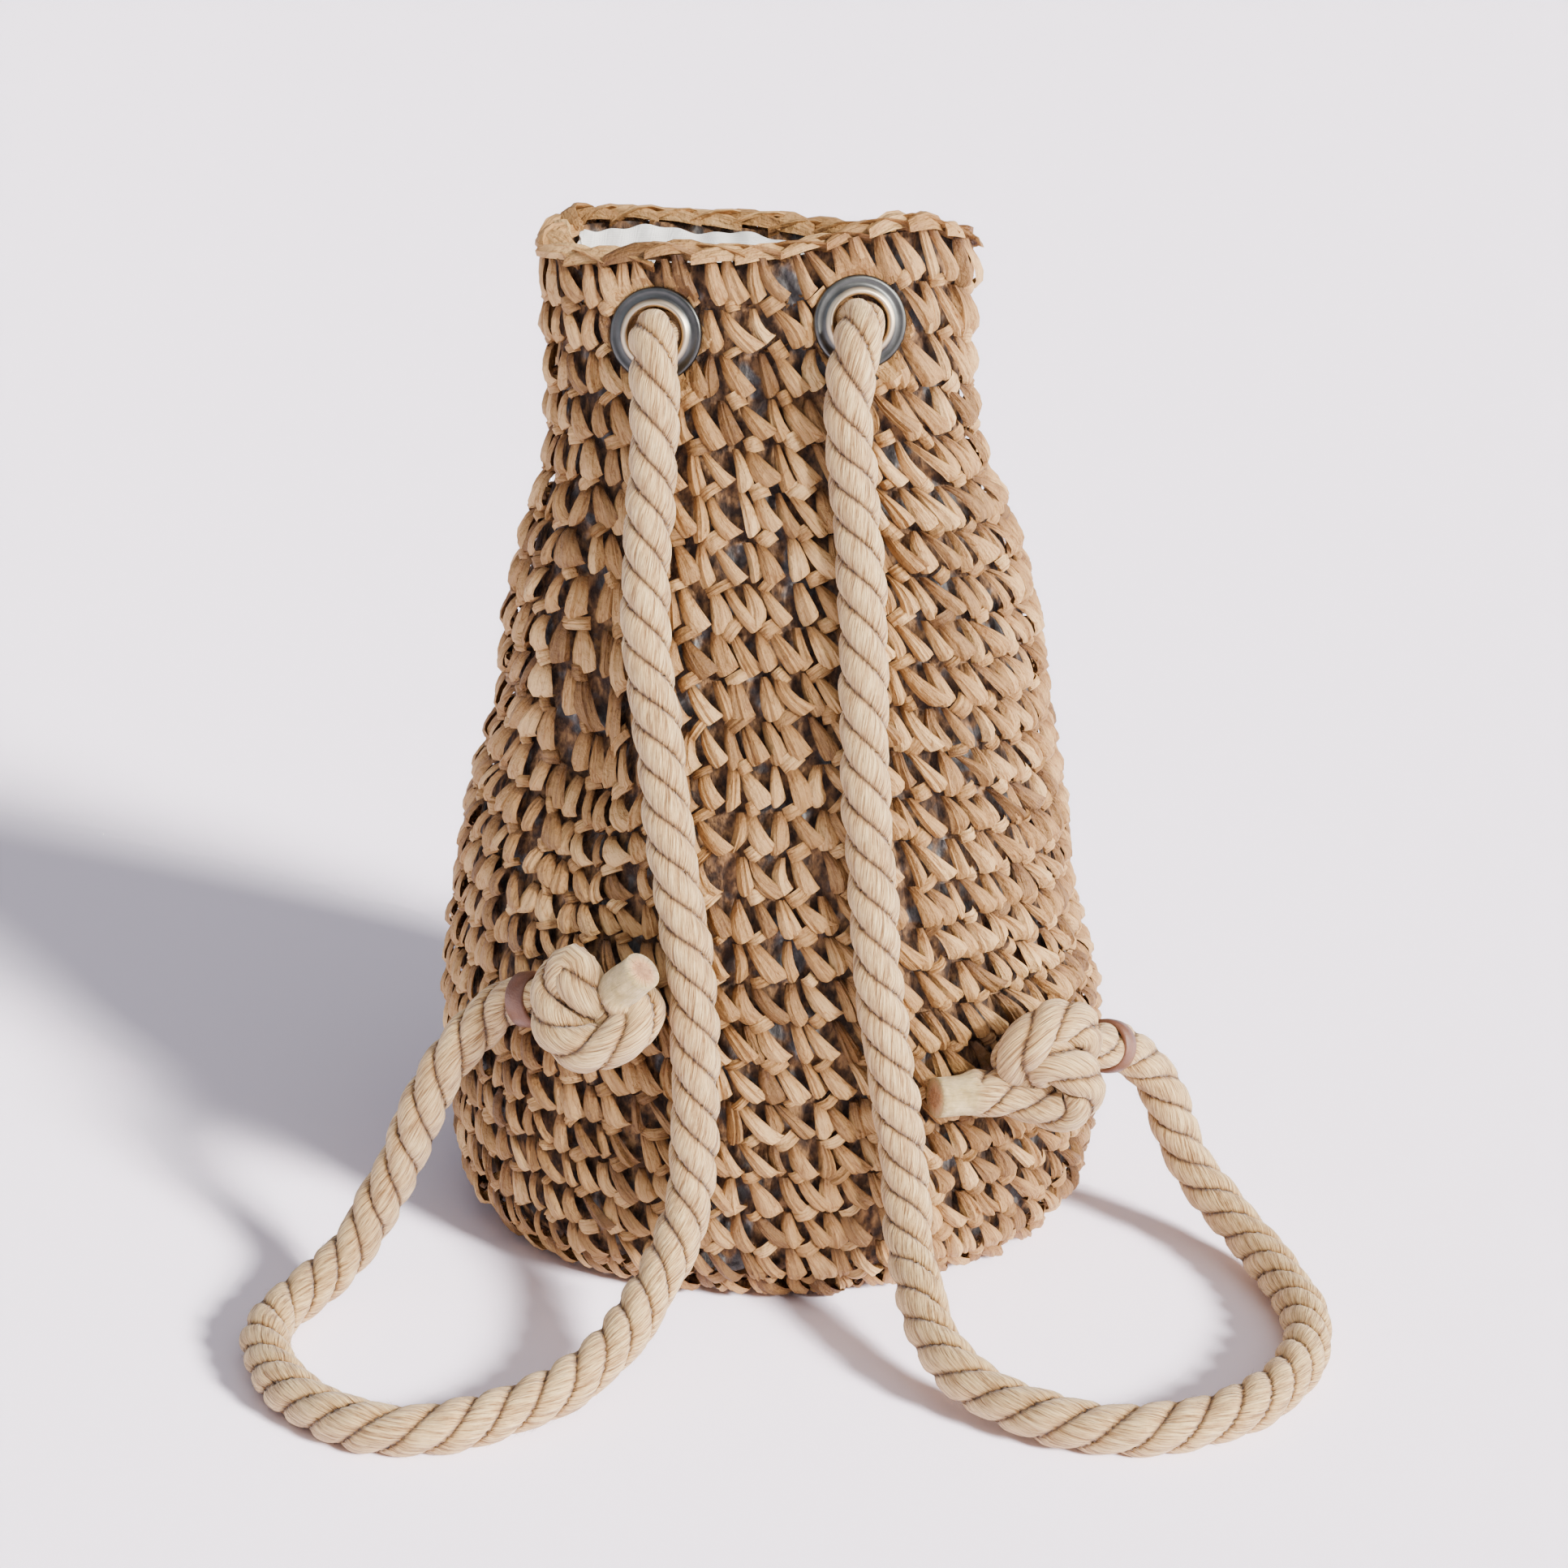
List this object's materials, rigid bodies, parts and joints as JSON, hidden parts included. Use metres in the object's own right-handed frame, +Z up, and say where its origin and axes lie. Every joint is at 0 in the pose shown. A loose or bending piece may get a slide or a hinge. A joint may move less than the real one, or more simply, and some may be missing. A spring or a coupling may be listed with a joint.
{
  "type": "woven straw backpack",
  "caption": "Crocheted straw bucket backpack with a pinched mouth, steel eyelets, knotted cotton rope straps and leather loops.",
  "frame": {"origin": "middle of the flat round base, on the floor", "axes": "+Z up to the mouth, -Y to the side with the eyelets and straps, +X to that side's right"},
  "size_m": [0.3397, 0.297, 0.3437],
  "materials": {
    "straw": "crumpled paper straw, matte",
    "cloth": "plain off-white lining",
    "steel": "polished dark nickel",
    "cotton": "twisted natural cotton rope, slightly fuzzy",
    "leather": "smooth brown"
  },
  "bodies": {
    "root": {"straw_body": "straw", "rim_braid": "straw", "lining": "cloth", "eyelet_left": "steel", "eyelet_right": "steel", "strap_rope_left": "cotton", "strap_rope_right": "cotton", "strap_rope_middle": "cotton", "knot_left": "cotton", "knot_right": "cotton", "leather_loop_left": "leather", "leather_loop_right": "leather"}
  },
  "joints": []
}
